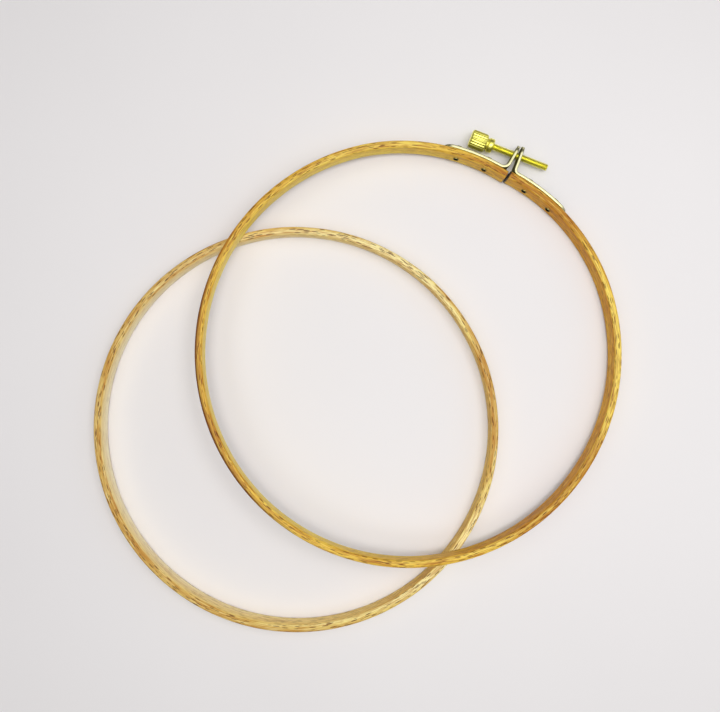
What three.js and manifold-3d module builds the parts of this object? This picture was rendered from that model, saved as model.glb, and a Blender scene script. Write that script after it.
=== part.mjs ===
// An embroidery hoop of beech, lying open on a table: a plain inner hoop, and a split outer hoop
// that leans on it. Two bent brackets riveted beside the split hold a knurled thumb screw, which
// draws the outer hoop tight round the inner one. Millimetres, +Z up, on the plane Z = 0.
import * as THREE from "three";
import { mergeVertices } from "three/addons/utils/BufferGeometryUtils.js";
import Module from "manifold-3d";

const wasm = await Module();
wasm.setup();

// Both hoops
const hoopHeight = 7.6;
const edgeRadius = 0.8; // rounding of the four long edges

// Inner hoop
const innerHoopDiameter = 152.4; // over the wood, where the cloth is stretched
const innerHoopWall = 2.9;

// Outer hoop, lying relaxed
const outerHoopDiameter = 156.6; // over the wood
const outerHoopWall = 2.7;
const splitGap = 0.7; // between the two ends
const splitChamfer = 0.3; // of the edges of each end
const leftPullIn = 2.07; // how far inside the circle the left end has set
const rightPullIn = 1.57; // the same for the right end, so the ends are a little out of line
const pullReach = 43; // degrees of hoop that leave the circle, to each side of the split
const pullPower = 1.5; // how much the inward set gathers towards the end
const splitOpening = 5.2; // how far the ends spread to pass over the inner hoop

// How the outer hoop lies
const centreDistance = 51.8; // between the centres of the hoops, seen from above
const centreDirection = 34.6; // degrees from +X to the way the outer hoop is offset
const splitDirection = 61.2; // degrees from +X to the split, seen from the outer hoop's centre
const restGap = 0.1; // left between the wood of the two hoops where they touch

// Brackets, bent from strip with full round ends
const stripThickness = 1.0;
const stripWidth = 6.4;
const leftStripReach = 26.4; // along the hoop from the split to the rounded end
const rightStripReach = 25.9;
const leftBendStart = 4.3; // along the hoop from the split to where the strip turns outwards
const rightBendStart = 2.9;
const leftBendRadius = 2.6; // to the middle of the strip
const rightBendRadius = 1.5;
const leftEarLean = 1; // degrees that each ear leans towards the other
const rightEarLean = 8.2;
const earHeight = 11.4; // from the wood to the top of an ear
const seatGap = 0.05; // between faces that are riveted together

// Rivets, with a domed head outside and a rolled tubular end inside the hoop
const leftRivetInset = 5.3; // from a strip's rounded end to its far rivet
const rightRivetInset = 5.4;
const rivetSpacing = 11.9;
const rivetDiameter = 1.9;
const rivetHeadDiameter = 3.5;
const rivetHeadHeight = 1.1;
const rivetHeadShoulder = 0.45; // straight side of the head under its dome
const rivetRollDiameter = 2.5;
const rivetRollHeight = 0.35;
const rivetTubeDiameter = 1.3; // bore of the rolled end
const rivetTubeDepth = 1.5;
const rivetPlay = 0.08; // round the rivet in its holes

// Thumb screw
const screwDiameter = 2.6; // over the thread
const screwLength = 30.9; // from the face of the head to the tip
const screwTipBeyondEar = 11.2;
const screwStandoff = 7.6; // from the wood to the axis, at the right ear
const screwPlay = 0.06; // round the screw in the threaded ear, and in its own head
const clearanceHoleDiameter = 4.3; // in the left ear
const tipChamfer = 0.35;
const headDiameter = 6.6; // over the knurling
const headLength = 6.3;
const headChamfer = 0.5;
const knurlRidges = 21;
const knurlDepth = 0.28;
const neckDiameter = 4.3; // groove between head and collar
const neckLength = 0.55;
const collarDiameter = 5.25;
const collarLength = 2.15;
const collarChamfer = 0.35;
const shankSeatDepth = 4.6; // how far the shank is let into collar and head

// Facets
const hoopSteps = 120; // round a hoop
const cornerSteps = 3; // round a long edge
const stripSteps = 12; // along a strip where it follows the hoop
const bendSteps = 8;
const roundEndAngles = [12, 30, 48, 66, 90]; // degrees round the full round end of a strip
const holeSteps = 20;
const rivetSteps = 16;
const domeSteps = 4;
const shankSteps = 28;
const pointsPerRidge = 3;

const radians = THREE.MathUtils.degToRad;
const innerRadius = innerHoopDiameter / 2;
const outerRadius = outerHoopDiameter / 2;

// Materials
const varnishedBeech = new THREE.MeshStandardMaterial({ color: 0xd9a860, roughness: 0.42, metalness: 0 });
const plainBeech = new THREE.MeshStandardMaterial({ color: 0xdcb780, roughness: 0.58, metalness: 0 });
const platedSteel = new THREE.MeshStandardMaterial({ color: 0xd9d59b, roughness: 0.3, metalness: 1 });
const turnedBrass = new THREE.MeshStandardMaterial({ color: 0xd6cf45, roughness: 0.26, metalness: 1 });

// A closed surface through rings of equally many points, capped flat on the first and last ring.
// Each ring runs counterclockwise about the way the rings advance.
function loft(rings) {
  const count = rings[0].length;
  const positions = rings.flat().flatMap((point) => point.toArray());
  const faces = [];
  for (let ring = 0; ring < rings.length - 1; ring++)
    for (let side = 0; side < count; side++) {
      const here = ring * count + side;
      const beside = ring * count + ((side + 1) % count);
      faces.push(here, beside, beside + count, here, beside + count, here + count);
    }
  const cap = (ring, facesForward) => {
    const centre = positions.length / 3;
    const middle = new THREE.Vector3();
    rings[ring].forEach((point) => middle.addScaledVector(point, 1 / count));
    positions.push(...middle.toArray());
    for (let side = 0; side < count; side++) {
      const here = ring * count + side;
      const beside = ring * count + ((side + 1) % count);
      faces.push(centre, ...(facesForward ? [here, beside] : [beside, here]));
    }
  };
  cap(0, false);
  cap(rings.length - 1, true);
  const geometry = new THREE.BufferGeometry();
  geometry.setAttribute("position", new THREE.Float32BufferAttribute(positions, 3));
  geometry.setIndex(faces);
  return geometry;
}

// A solid turned about the Y axis from a profile of [radius, height] points, which runs upwards
// on the outside.
function turned(profile, steps) {
  return new THREE.LatheGeometry(
    profile.map(([radius, height]) => new THREE.Vector2(radius, height)),
    steps,
  );
}

function solidOf(geometry) {
  const plain = geometry.clone();
  plain.deleteAttribute("normal");
  plain.deleteAttribute("uv");
  const merged = mergeVertices(plain, 1e-4);
  return new wasm.Manifold(
    new wasm.Mesh({
      numProp: 3,
      vertProperties: merged.attributes.position.array,
      triVerts: new Uint32Array(merged.index.array),
    }),
  );
}

function drilled(geometry, drills) {
  const rest = drills.reduce((body, drill) => body.subtract(solidOf(drill)), solidOf(geometry));
  const { vertProperties, triVerts } = rest.getMesh();
  const result = new THREE.BufferGeometry();
  result.setAttribute("position", new THREE.BufferAttribute(vertProperties, 3));
  result.setIndex(new THREE.BufferAttribute(triVerts, 1));
  return result;
}

// A drill along the Y axis of a seat, longer than anything it passes through.
function drill(diameter, length, seat) {
  return new THREE.CylinderGeometry(diameter / 2, diameter / 2, length, holeSteps).applyMatrix4(seat);
}

// The rounded section of a hoop as [depth, height] points, with the depth negative from the
// outer face inwards. It runs clockwise, and inset draws it in all round.
function hoopSection(wall, inset = 0) {
  const largestShare = 0.45; // of the wall or the height, that an edge's rounding may take
  const radius = Math.min(edgeRadius, largestShare * wall, largestShare * hoopHeight);
  const corners = [
    [-radius, hoopHeight - radius, 90],
    [-radius, radius, 0],
    [radius - wall, radius, -90],
    [radius - wall, hoopHeight - radius, -180],
  ];
  return corners.flatMap(([depth, height, start]) =>
    Array.from({ length: cornerSteps + 1 }, (_, step) => {
      const angle = radians(start - (90 * step) / cornerSteps);
      const reach = Math.max(radius - inset, 0.1 * radius);
      return [depth + reach * Math.cos(angle), height + reach * Math.sin(angle)];
    }),
  );
}

function innerHoopGeometry() {
  const profile = hoopSection(innerHoopWall)
    .reverse()
    .map(([depth, height]) => [innerRadius + depth, height]);
  return turned([...profile, profile[0]], hoopSteps).rotateX(Math.PI / 2);
}

// The outer hoop's own plane has its centre at the origin and the split on +Y. A turn is an angle
// from the split in radians, clockwise, so the right end has the small positive turns.
function inPlane(radius, turn, height = 0) {
  return new THREE.Vector3(radius * Math.sin(turn), radius * Math.cos(turn), height);
}

// Radius of the outer hoop's outer face: a circle whose ends have set inwards.
function outerFaceRadius(turn) {
  const pull = turn < 0 ? leftPullIn : rightPullIn;
  const nearness = Math.max(0, 1 - Math.abs(turn) / radians(pullReach));
  return outerRadius - pull * nearness ** pullPower;
}

function outerHoopGeometry() {
  const firstTurn = splitGap / 2 / outerRadius;
  const chamferTurn = splitChamfer / outerRadius;
  const slices = [[firstTurn, splitChamfer]];
  const span = 2 * Math.PI - 2 * (firstTurn + chamferTurn);
  for (let step = 0; step <= hoopSteps; step++)
    slices.push([firstTurn + chamferTurn + (span * step) / hoopSteps, 0]);
  slices.push([2 * Math.PI - firstTurn, splitChamfer]);
  return loft(
    slices.map(([travelled, inset]) => {
      const turn = travelled < Math.PI ? -travelled : 2 * Math.PI - travelled;
      return hoopSection(outerHoopWall, inset).map(([depth, height]) =>
        inPlane(outerFaceRadius(turn) + depth, turn, height),
      );
    }),
  );
}

// The two sides of the split. side is -1 on the left and 1 on the right.
const leftSide = {
  side: -1,
  stripReach: leftStripReach,
  bendStart: leftBendStart,
  bendRadius: leftBendRadius,
  earLean: leftEarLean,
  rivetInset: leftRivetInset,
};
const rightSide = {
  side: 1,
  stripReach: rightStripReach,
  bendStart: rightBendStart,
  bendRadius: rightBendRadius,
  earLean: rightEarLean,
  rivetInset: rightRivetInset,
};

const turnAt = ({ side }, distance) => (side * distance) / outerRadius;

// A point this far above the outer face, at a distance along the hoop from the split.
function aboveFace(half, distance, rise) {
  const turn = turnAt(half, distance);
  return inPlane(outerFaceRadius(turn) + rise, turn, hoopHeight / 2);
}

// The way a strip heads along the face, towards the split.
function headingAt(half, distance) {
  const step = 0.05;
  return aboveFace(half, distance - step, 0).sub(aboveFace(half, distance + step, 0)).normalize();
}

// The height on +Y of the wood's outer face at the end of this half.
const endFace = ({ side }) => outerFaceRadius(side * 1e-9);

const earDirection = ({ side, earLean }) =>
  new THREE.Vector3(-side * Math.sin(radians(earLean)), Math.cos(radians(earLean)), 0);

// The middle line of a bracket as a function of the distance from its end on the hoop: along the
// wood, round the bend, and straight up the ear.
function bracketLine(half) {
  const { side, stripReach, bendStart, bendRadius } = half;
  const along = stripReach - bendStart;
  const start = aboveFace(half, bendStart, seatGap + stripThickness / 2);
  const heading = headingAt(half, bendStart);
  const outwards = new THREE.Vector3(side * heading.y, -side * heading.x, 0);
  const ear = earDirection(half);
  const bend = heading.angleTo(ear);
  const bendEnd = start
    .clone()
    .addScaledVector(heading, bendRadius * Math.sin(bend))
    .addScaledVector(outwards, bendRadius * (1 - Math.cos(bend)));
  const rise = (endFace(half) + earHeight - bendEnd.y) / ear.y;
  const pointAt = (distance) => {
    if (distance <= along)
      return aboveFace(half, stripReach - distance, seatGap + stripThickness / 2);
    const angle = (distance - along) / bendRadius;
    if (angle <= bend)
      return start
        .clone()
        .addScaledVector(heading, bendRadius * Math.sin(angle))
        .addScaledVector(outwards, bendRadius * (1 - Math.cos(angle)));
    return bendEnd.clone().addScaledVector(ear, distance - along - bendRadius * bend);
  };
  return { pointAt, bendEnd, along, bendLength: bendRadius * bend, rise };
}

// Distances along a bracket that show its rounded ends, the curve of the hoop and the bend.
function bracketStops({ along, bendLength, rise }) {
  const total = along + bendLength + rise;
  const round = stripWidth / 2;
  const roundStops = roundEndAngles.map((angle) => round * (1 - Math.cos(radians(angle))));
  const evenly = (from, to, parts) =>
    Array.from({ length: parts }, (_, part) => from + ((to - from) * (part + 1)) / parts);
  return [
    ...roundStops,
    ...evenly(round, along, stripSteps),
    ...evenly(along, along + bendLength, bendSteps),
    total - round,
    ...roundStops.map((stop) => total - stop).reverse().slice(1),
  ];
}

// Where a rivet sits: Y points straight out of the wood's outer face.
function rivetSeat(half, distance) {
  const heading = headingAt(half, distance);
  const outwards = new THREE.Vector3(half.side * heading.y, -half.side * heading.x, 0);
  const up = new THREE.Vector3(0, 0, 1);
  const across = new THREE.Vector3().crossVectors(outwards, up);
  return new THREE.Matrix4()
    .makeBasis(across, outwards, up)
    .setPosition(aboveFace(half, distance, 0));
}

// The near rivet of a half, then the far one.
function rivetSeats(half) {
  const far = half.stripReach - half.rivetInset;
  return [rivetSeat(half, far - rivetSpacing), rivetSeat(half, far)];
}

const rivetDrills = (half) =>
  rivetSeats(half).map((seat) =>
    drill(rivetDiameter + 2 * rivetPlay, 4 * (outerHoopWall + stripThickness), seat),
  );

// Long enough to pass through one ear, and short enough to miss the other.
const earDrillLength = 2 * stripThickness;

// The screw stands square to the right ear. Its Y axis runs from the head to the tip, and its
// origin is where it crosses the middle of that ear.
const screwLean = radians(rightEarLean);
const rightLine = bracketLine(rightSide);
const earCrossing = (half, line, height) =>
  line.bendEnd
    .clone()
    .addScaledVector(earDirection(half), (height - line.bendEnd.y) / earDirection(half).y);
const screwOrigin = earCrossing(rightSide, rightLine, endFace(rightSide) + screwStandoff);
const screwSeat = new THREE.Matrix4()
  .makeRotationZ(screwLean - Math.PI / 2)
  .setPosition(screwOrigin);

// As the split opens, the left ear travels along the leaning screw. Its hole is placed half of
// that drift nearer the wood, so the screw clears it all the way.
const leftLine = bracketLine(leftSide);
const leftCrossingHeight =
  screwOrigin.y + (leftLine.bendEnd.x - screwOrigin.x) * Math.tan(screwLean);
const leftHoleDrop = 0.5 * splitOpening * Math.tan(screwLean);
const leftHole = earCrossing(leftSide, leftLine, leftCrossingHeight - leftHoleDrop);
const leftHoleSeat = new THREE.Matrix4()
  .makeRotationZ(-Math.PI / 2 - radians(leftEarLean))
  .setPosition(leftHole);

function bracketGeometry(half, line, earDrill) {
  const total = line.along + line.bendLength + line.rise;
  const round = stripWidth / 2;
  const up = new THREE.Vector3(0, 0, 1);
  const rings = bracketStops(line).map((stop) => {
    const step = 1e-3;
    const ahead = line.pointAt(Math.min(stop + step, total));
    const heading = ahead.sub(line.pointAt(Math.max(stop - step, 0))).normalize();
    const across = new THREE.Vector3().crossVectors(up, heading);
    const fromEnd = Math.min(stop, total - stop, round);
    const halfWidth = Math.sqrt(round ** 2 - (round - fromEnd) ** 2);
    const corners = [[1, -1], [1, 1], [-1, 1], [-1, -1]];
    return corners.map(([thick, wide]) =>
      line
        .pointAt(stop)
        .addScaledVector(across, (thick * stripThickness) / 2)
        .addScaledVector(up, wide * halfWidth),
    );
  });
  return drilled(loft(rings), [...rivetDrills(half), earDrill]);
}

function rivetGeometry() {
  const headBase = 2 * seatGap + stripThickness;
  const shank = rivetDiameter / 2;
  const head = rivetHeadDiameter / 2;
  const roll = rivetRollDiameter / 2;
  const bore = rivetTubeDiameter / 2;
  const rollBase = -outerHoopWall - seatGap;
  const rollFoot = rollBase - rivetRollHeight;
  const domeBase = headBase + rivetHeadShoulder;
  const dome = Array.from({ length: domeSteps }, (_, step) => {
    const angle = radians((90 * step) / domeSteps);
    return [
      head * Math.cos(angle),
      domeBase + (rivetHeadHeight - rivetHeadShoulder) * Math.sin(angle),
    ];
  });
  return turned(
    [
      [0, rollFoot + rivetTubeDepth],
      [bore, rollFoot + rivetTubeDepth],
      [bore, (rollFoot + rollBase) / 2],
      [(bore + roll) / 2, rollFoot],
      [roll, (rollFoot + rollBase) / 2],
      [roll, rollBase],
      [shank, rollBase],
      [shank, headBase],
      [head, headBase],
      ...dome,
      [0, headBase + rivetHeadHeight],
    ],
    rivetSteps,
  );
}

function shankGeometry() {
  const radius = screwDiameter / 2;
  const tip = screwTipBeyondEar;
  const start = tip - screwLength + headLength + neckLength + collarLength - shankSeatDepth;
  return turned(
    [
      [0, start],
      [radius, start],
      [radius, tip - tipChamfer],
      [radius - tipChamfer, tip],
      [0, tip],
    ],
    shankSteps,
  );
}

// The head with its straight knurling, the neck and the collar, bored to take the shank.
function headGeometry() {
  const face = screwTipBeyondEar - screwLength;
  const headEnd = face + headLength;
  const collarStart = headEnd + neckLength;
  const collarEnd = collarStart + collarLength;
  const count = knurlRidges * pointsPerRidge;
  const ring = (radius, height, depth) =>
    Array.from({ length: count }, (_, point) => {
      const angle = (2 * Math.PI * point) / count;
      const distance = point % pointsPerRidge === 0 ? radius - depth : radius;
      return new THREE.Vector3(distance * Math.sin(angle), height, distance * Math.cos(angle));
    });
  const head = headDiameter / 2;
  const neck = neckDiameter / 2;
  const collar = collarDiameter / 2;
  const bore = screwDiameter / 2 + screwPlay;
  return loft([
    ring(head - headChamfer, face, 0),
    ring(head, face + headChamfer, knurlDepth),
    ring(head, headEnd - headChamfer, knurlDepth),
    ring(head - headChamfer, headEnd, 0),
    ring(neck, headEnd, 0),
    ring(neck, collarStart, 0),
    ring(collar - collarChamfer, collarStart, 0),
    ring(collar, collarStart + collarChamfer, 0),
    ring(collar, collarEnd - collarChamfer, 0),
    ring(collar - collarChamfer, collarEnd, 0),
    ring(bore, collarEnd, 0),
    ring(bore, collarEnd - shankSeatDepth - screwPlay, 0),
  ]);
}

function piece(name, geometry, material) {
  const mesh = new THREE.Mesh(geometry, material);
  mesh.name = name;
  return mesh;
}

function placed(mesh, seat) {
  mesh.applyMatrix4(seat);
  return mesh;
}

// The outer hoop touches the plane at its rim on one side and the top of the inner hoop on the
// other. contactReach is how far back from its centre the first contact with that hoop lies.
const outerBore = outerRadius - outerHoopWall;
const contactReach =
  (centreDistance ** 2 + outerBore ** 2 - innerRadius ** 2) / (2 * centreDistance);
const lean = Math.asin((hoopHeight + restGap) / (outerRadius - edgeRadius + contactReach));
const leanHeight =
  (outerRadius - edgeRadius) * Math.sin(lean) + edgeRadius * (1 - Math.cos(lean));

const outerAssembly = new THREE.Group();
outerAssembly.rotation.z = radians(splitDirection - centreDirection - 90);
outerAssembly.add(
  piece(
    "outer_hoop",
    drilled(outerHoopGeometry(), [...rivetDrills(leftSide), ...rivetDrills(rightSide)]),
    varnishedBeech,
  ),
  piece(
    "left_bracket",
    bracketGeometry(leftSide, leftLine, drill(clearanceHoleDiameter, earDrillLength, leftHoleSeat)),
    platedSteel,
  ),
  piece(
    "right_bracket",
    bracketGeometry(
      rightSide,
      rightLine,
      drill(screwDiameter + 2 * screwPlay, earDrillLength, screwSeat),
    ),
    platedSteel,
  ),
  placed(piece("screw_shank", shankGeometry(), turnedBrass), screwSeat),
  placed(piece("screw_head", headGeometry(), turnedBrass), screwSeat),
);
for (const [name, half] of [["left", leftSide], ["right", rightSide]]) {
  const [near, far] = rivetSeats(half);
  outerAssembly.add(
    placed(piece(`${name}_near_rivet`, rivetGeometry(), platedSteel), near),
    placed(piece(`${name}_far_rivet`, rivetGeometry(), platedSteel), far),
  );
}

const leaning = new THREE.Group();
leaning.rotation.set(0, lean, radians(centreDirection), "ZYX");
leaning.position.set(
  centreDistance * Math.cos(radians(centreDirection)),
  centreDistance * Math.sin(radians(centreDirection)),
  leanHeight,
);
leaning.add(outerAssembly);

const hoops = new THREE.Group();
hoops.add(piece("inner_hoop", innerHoopGeometry(), plainBeech), leaning);

// The origin is on the plane under the middle of the whole.
const middle = new THREE.Box3().setFromObject(hoops, true).getCenter(new THREE.Vector3());
hoops.position.set(-middle.x, -middle.y, 0);

const embroideryHoop = new THREE.Group();
embroideryHoop.add(hoops);
export default embroideryHoop;
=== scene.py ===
"""An embroidery hoop of bent beech, lying open on a pale table.

A plain inner hoop lies flat. A split outer hoop lies across it, leaning from the table to the top
of the inner one. Two brackets of plated strip, riveted beside the split, hold a knurled thumb screw.
Sizes are in millimetres and angles in degrees, and meshes are put into the frame in metres.
"""
import logging
import math
from dataclasses import dataclass
from enum import Enum
from typing import Any, Callable

import bmesh
import bpy
import numpy as np
from mathutils import Matrix, Vector


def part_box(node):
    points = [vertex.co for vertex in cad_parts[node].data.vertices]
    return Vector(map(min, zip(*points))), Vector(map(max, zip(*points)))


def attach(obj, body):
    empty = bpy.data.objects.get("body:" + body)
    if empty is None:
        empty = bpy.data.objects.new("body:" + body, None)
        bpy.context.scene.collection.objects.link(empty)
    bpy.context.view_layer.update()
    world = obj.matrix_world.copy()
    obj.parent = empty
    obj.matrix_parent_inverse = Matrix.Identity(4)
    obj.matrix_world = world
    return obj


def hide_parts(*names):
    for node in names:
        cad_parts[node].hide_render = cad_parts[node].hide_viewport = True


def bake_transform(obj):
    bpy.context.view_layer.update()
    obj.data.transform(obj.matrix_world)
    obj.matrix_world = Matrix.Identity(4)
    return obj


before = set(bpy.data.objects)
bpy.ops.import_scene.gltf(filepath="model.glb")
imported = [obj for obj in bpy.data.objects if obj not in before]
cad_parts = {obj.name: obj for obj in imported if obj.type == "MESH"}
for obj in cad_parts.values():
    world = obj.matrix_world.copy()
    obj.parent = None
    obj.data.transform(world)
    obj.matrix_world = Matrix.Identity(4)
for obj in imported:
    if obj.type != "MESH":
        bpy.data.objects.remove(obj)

LOG = logging.getLogger("embroidery_hoop")
METRES = 0.001
TURN = 2.0 * math.pi
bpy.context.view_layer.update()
Pair = tuple[float, float]
Triple = tuple[float, float, float]


class Side(Enum):
    """The two sides of the split, as seen with the split at the top."""

    LEFT = -1
    RIGHT = 1


@dataclass
class Shell:
    """A closed surface: points in millimetres, its faces, and values that its material reads.

    Each row of faces lists the corners of one face. Rows of four and of three are kept apart. A row
    of grain holds three coordinates of the point's own, and the rise that its material reads.
    """

    points: np.ndarray
    quads: np.ndarray
    triangles: np.ndarray
    grain: np.ndarray

    def piece(self, name: str, finish: bpy.types.Material, sharp: float = 35.0) -> bpy.types.Object:
        """Makes the object, with its place in its mesh, faces outwards and creases kept sharp.

        Args:
            name: The piece's name.
            finish: Its material.
            sharp: Edges that turn more than this many degrees are shaded sharp.

        Returns:
            The object, linked to the scene at the origin.
        """
        mesh = bpy.data.meshes.new(name)
        mesh.vertices.add(len(self.points))
        mesh.vertices.foreach_set("co", (self.points * METRES).astype(np.float32).ravel())
        corners = np.concatenate([self.quads.ravel(), self.triangles.ravel()]).astype(np.int32)
        sides = np.repeat([4, 3], [len(self.quads), len(self.triangles)]).astype(np.int32)
        mesh.loops.add(len(corners))
        mesh.loops.foreach_set("vertex_index", corners)
        mesh.polygons.add(len(sides))
        mesh.polygons.foreach_set("loop_start", (np.cumsum(sides) - sides).astype(np.int32))
        mesh.update(calc_edges=True)
        layer = mesh.attributes.new("grain", "FLOAT_VECTOR", "POINT")
        layer.data.foreach_set("vector", self.grain[:, :3].astype(np.float32).ravel())
        layer = mesh.attributes.new("rise", "FLOAT", "POINT")
        layer.data.foreach_set("value", self.grain[:, 3].astype(np.float32))
        work = bmesh.new()
        work.from_mesh(mesh)
        bmesh.ops.recalc_face_normals(work, faces=work.faces)
        work.to_mesh(mesh)
        work.free()
        mesh.polygons.foreach_set("use_smooth", np.ones(len(mesh.polygons), bool))
        mesh.set_sharp_from_angle(angle=math.radians(sharp))
        mesh.materials.append(finish)
        mesh.validate()
        made = bpy.data.objects.new(name, mesh)
        bpy.context.scene.collection.objects.link(made)
        return made


def lattice(columns: int, rows: int, closed: bool) -> np.ndarray:
    """Quads of a grid whose point (i, j) is number i * rows + j.

    Args:
        columns: Number of columns, i.
        rows: Number of rows, j, which join up round the section.
        closed: Whether the last column joins the first.

    Returns:
        Corner numbers as an array of shape (columns or columns - 1, rows, 4).
    """
    i = np.arange(columns if closed else columns - 1)[:, None]
    j = np.arange(rows)[None, :]
    ahead, beside = (i + 1) % columns, (j + 1) % rows
    corners = (i * rows + j, i * rows + beside, ahead * rows + beside, ahead * rows + j)
    return np.stack(np.broadcast_arrays(*corners), -1)


def fan(loop: np.ndarray, centre: int) -> np.ndarray:
    """Triangles from a centre point to each side of a closed loop of point numbers."""
    return np.stack([loop, np.roll(loop, -1), np.full(len(loop), centre)], -1)


def belt(one: np.ndarray, other: np.ndarray) -> np.ndarray:
    """Quads between two closed loops of equally many point numbers."""
    return np.stack([one, np.roll(one, -1), np.roll(other, -1), other], -1)


def turned(radius: np.ndarray, height: np.ndarray, ends: Pair) -> Shell:
    """A surface round Y whose radius may change with the angle, with a pole at each end.

    A point of the radius r at the angle a and the height y goes to (r sin a, y, r cos a).

    Args:
        radius: Radius of each grid point, as an array of (heights, angles).
        height: Height of each row, as an array of (heights, 1).
        ends: Heights of the two poles.

    Returns:
        The closed surface, with its own radius, height and angle as grain and its height as rise.
    """
    rows, around = radius.shape
    angle = np.linspace(0.0, TURN, around, endpoint=False)[None, :]
    grid = np.stack(np.broadcast_arrays(radius * np.sin(angle), height, radius * np.cos(angle)), -1)
    own = np.stack(np.broadcast_arrays(radius, height, angle), -1)
    poles = np.array([[0.0, end, 0.0] for end in ends])
    own = np.concatenate([own.reshape(-1, 3), poles])
    count = rows * around
    first, last = np.arange(around), np.arange(count - around, count)[::-1]
    return Shell(
        np.concatenate([grid.reshape(-1, 3), poles]),
        lattice(rows, around, False).reshape(-1, 4),
        np.concatenate([fan(first, count), fan(last, count + 1)]),
        np.column_stack([own, own[:, 1]]),
    )


def revolve(profile: np.ndarray, steps: int) -> Shell:
    """Turns a profile about Y.

    Args:
        profile: Points (radius, height) as an array of shape (n, 2), the first and last on the axis.
        steps: Number of steps round the axis.

    Returns:
        The closed surface, as turned gives it.
    """
    return turned(np.repeat(profile[1:-1, :1], steps, 1), profile[1:-1, 1:], (profile[0, 1], profile[-1, 1]))


@dataclass(frozen=True)
class Section:
    """The rounded rectangle that a strip of wood or metal has square to its length.

    It reaches from low to high across the strip, and from 0 up to height.
    """

    low: float
    high: float
    height: float
    radius: float
    corner_steps: int = 5
    wall_steps: int = 12
    edge_steps: int = 4
    least_corner: float = 0.15

    def outline(self, inset: float = 0.0) -> np.ndarray:
        """Points (depth, height) up the outer wall, over the top, down the inner wall and back.

        Each corner is a quarter circle. The inset shortens its radius about the same centre, down to
        the share least_corner, which draws the whole outline in.

        Args:
            inset: How far the outline is drawn in.

        Returns:
            The points as an array of shape (n, 2), with height 0 at the bottom.
        """
        r = self.radius
        reach = max(r - inset, self.least_corner * r)
        up = np.linspace(r, self.height - r, self.wall_steps + 1)
        across = np.linspace(self.high - r, self.low + r, self.edge_steps + 1)
        quarter = np.linspace(0.0, math.pi / 2, self.corner_steps + 1)[1:-1]

        def corner(depth: float, height: float, start: float) -> np.ndarray:
            """The inner points of a quarter circle round a centre, from a start angle."""
            turn = start + quarter
            return np.stack([depth + reach * np.cos(turn), height + reach * np.sin(turn)], -1)

        def line(depth: np.ndarray | float, height: np.ndarray | float) -> np.ndarray:
            """Points along one straight side."""
            return np.stack(np.broadcast_arrays(depth, height), -1).astype(float)

        return np.concatenate([
            line(self.high - r + reach, up),
            corner(self.high - r, self.height - r, 0.0),
            line(across, self.height - r + reach),
            corner(self.low + r, self.height - r, math.pi / 2),
            line(self.low + r - reach, up[::-1]),
            corner(self.low + r, r, math.pi),
            line(across[::-1], r - reach),
            corner(self.high - r, r, 1.5 * math.pi),
        ])

    def outer_rows(self) -> np.ndarray:
        """Numbers of the points up the outer wall, the lowest first."""
        return np.arange(self.wall_steps + 1)

    def inner_rows(self) -> np.ndarray:
        """Numbers of the points of the inner wall, the lowest first."""
        start = self.wall_steps + 1 + 2 * (self.corner_steps - 1) + self.edge_steps + 1
        return start + np.arange(self.wall_steps + 1)[::-1]


@dataclass(frozen=True)
class Hole:
    """A round hole through a strip, at a travel along it and a height on its face.

    The window is half the side of the square of cells that makes room for it.
    """

    travel: float
    height: float
    diameter: float
    window: float


Place = Callable[[np.ndarray, np.ndarray, np.ndarray], np.ndarray]


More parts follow.
